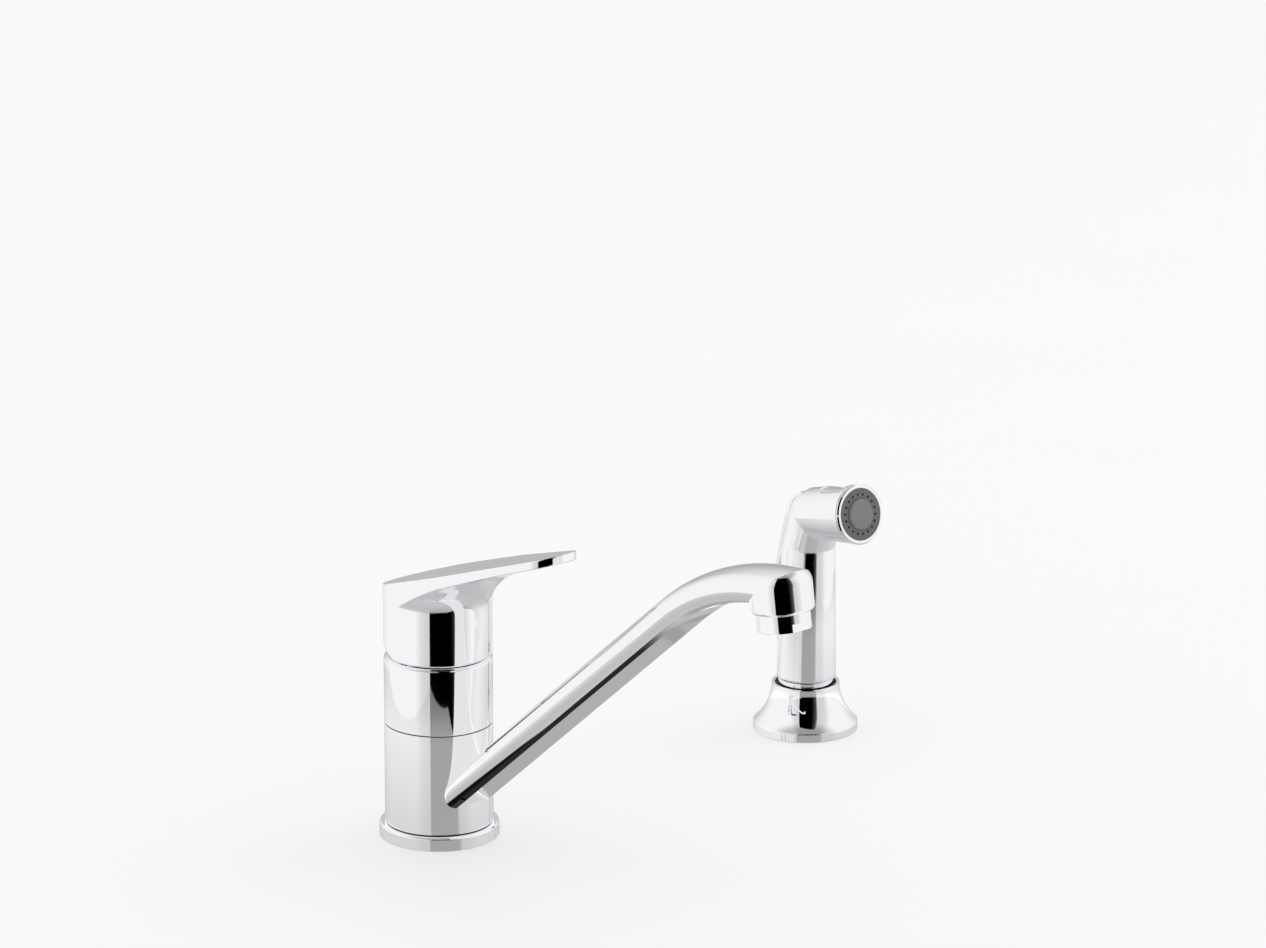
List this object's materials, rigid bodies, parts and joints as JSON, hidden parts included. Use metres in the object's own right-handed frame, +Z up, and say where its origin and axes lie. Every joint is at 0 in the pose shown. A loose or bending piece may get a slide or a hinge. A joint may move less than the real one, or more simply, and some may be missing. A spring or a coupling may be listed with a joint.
{
  "type": "kitchen_faucet",
  "caption": "Single lever kitchen faucet in polished chrome with a low swivel spout, a ceramic cartridge, an aerator and a separate side sprayer standing in a bell flange.",
  "frame": {"origin": "Centre of the faucet base, on the top of the deck", "axes": "+Z up, -Y to the front, where the spout and the lever point, +X towards the side sprayer"},
  "size_m": [0.2806, 0.2754, 0.2791],
  "materials": {
    "chrome": "polished chrome plate",
    "brass": "machined brass",
    "copper": "drawn copper tube",
    "rubber": "black rubber",
    "glide_plastic": "smooth black plastic",
    "steel": "bright stainless steel",
    "dark_plastic": "moulded dark grey plastic",
    "ceramic": "lapped white ceramic",
    "white_plastic": "moulded white plastic",
    "blue_plastic": "moulded blue plastic",
    "face_plastic": "satin grey plastic"
  },
  "bodies": {
    "base": {"base_ring": "chrome", "deck_gasket": "rubber", "valve_body": "brass", "mounting_shank": "brass", "clamp_gasket": "rubber", "clamp_washer": "steel", "mounting_nut": "brass", "hot_tube": "copper", "cold_tube": "copper", "spray_outlet": "brass", "upper_shell": "chrome", "trim_ring": "chrome", "spout_seals": "rubber", "lower_glide_ring": "glide_plastic", "upper_glide_ring": "glide_plastic", "diverter_sleeve": "white_plastic", "diverter_seal": "rubber", "cartridge_base": "dark_plastic", "port_seals": "rubber", "fixed_disc": "ceramic", "cartridge_housing": "dark_plastic", "retaining_nut": "brass", "spray_bell": "chrome", "bell_gasket": "rubber", "spray_guide": "dark_plastic", "guide_washer": "steel", "guide_nut": "dark_plastic"},
    "valve_carrier": {"turret": "dark_plastic", "stem_pin": "steel"},
    "handle": {"handle": "chrome", "lever_stem": "brass", "set_screw": "steel", "screw_plug": "chrome"},
    "disc": {"moving_disc": "ceramic", "disc_carrier": "blue_plastic"},
    "spout": {"spout": "chrome", "aerator_collar": "chrome", "aerator_screen": "white_plastic", "aerator_washer": "rubber"},
    "diverter": {"diverter_piston": "white_plastic"},
    "coupling": {"hose_coupling": "chrome", "coupling_washer": "rubber", "coupling_clip": "steel"},
    "sprayer": {"sprayer_body": "chrome", "face_ring": "chrome", "spray_face": "face_plastic", "face_button": "face_plastic", "flow_disc": "white_plastic", "valve_seat": "brass", "trigger_pin": "steel", "valve_spring": "steel"},
    "trigger": {"trigger": "chrome"},
    "plunger": {"valve_plunger": "steel", "valve_seal": "rubber"}
  },
  "joints": [
    {"name": "temp_turn", "type": "hinge", "parent": "base", "child": "valve_carrier", "pos_m": [0, 0, 0.09], "axis": [0, 0, 1], "range_deg": [-45, 45]},
    {"name": "lever_lift", "type": "hinge", "parent": "valve_carrier", "child": "handle", "pos_m": [0, 0, 0.09], "axis": [-1, 0, 0], "range_deg": [0, 20]},
    {"name": "disc_slide", "type": "slide", "parent": "valve_carrier", "child": "disc", "axis": [0, -1, 0], "range_m": [0, 0.00709]},
    {"name": "spout_swivel", "type": "hinge", "parent": "base", "child": "spout", "pos_m": [0, 0, 0.03], "axis": [0, 0, 1], "range_deg": [-60, 60]},
    {"name": "diverter_shift", "type": "slide", "parent": "base", "child": "diverter", "axis": [0, 0, 1], "range_m": [0, 0.004]},
    {"name": "spray_lift", "type": "slide", "parent": "base", "child": "coupling", "axis": [0, 0, 1], "range_m": [0, 0.12]},
    {"name": "spray_turn", "type": "hinge", "parent": "coupling", "child": "sprayer", "pos_m": [0.228, 0, 0.03], "axis": [0, 0, 1], "continuous": true},
    {"name": "trigger_press", "type": "hinge", "parent": "sprayer", "child": "trigger", "pos_m": [0.228, 0.001, 0.1124], "axis": [-1, 0, 0], "range_deg": [0, 5], "stiffness_Nm_per_rad": 0.4},
    {"name": "plunger_push", "type": "slide", "parent": "sprayer", "child": "plunger", "axis": [0, -1, 0], "range_m": [0, 0.0023], "deforming": ["valve_spring"]}
  ],
  "couplings": [
    {"joint": "disc_slide", "follows": "lever_lift", "m_per_rad": 0.020306},
    {"joint": "plunger_push", "follows": "trigger_press", "m_per_rad": 0.02637}
  ]
}
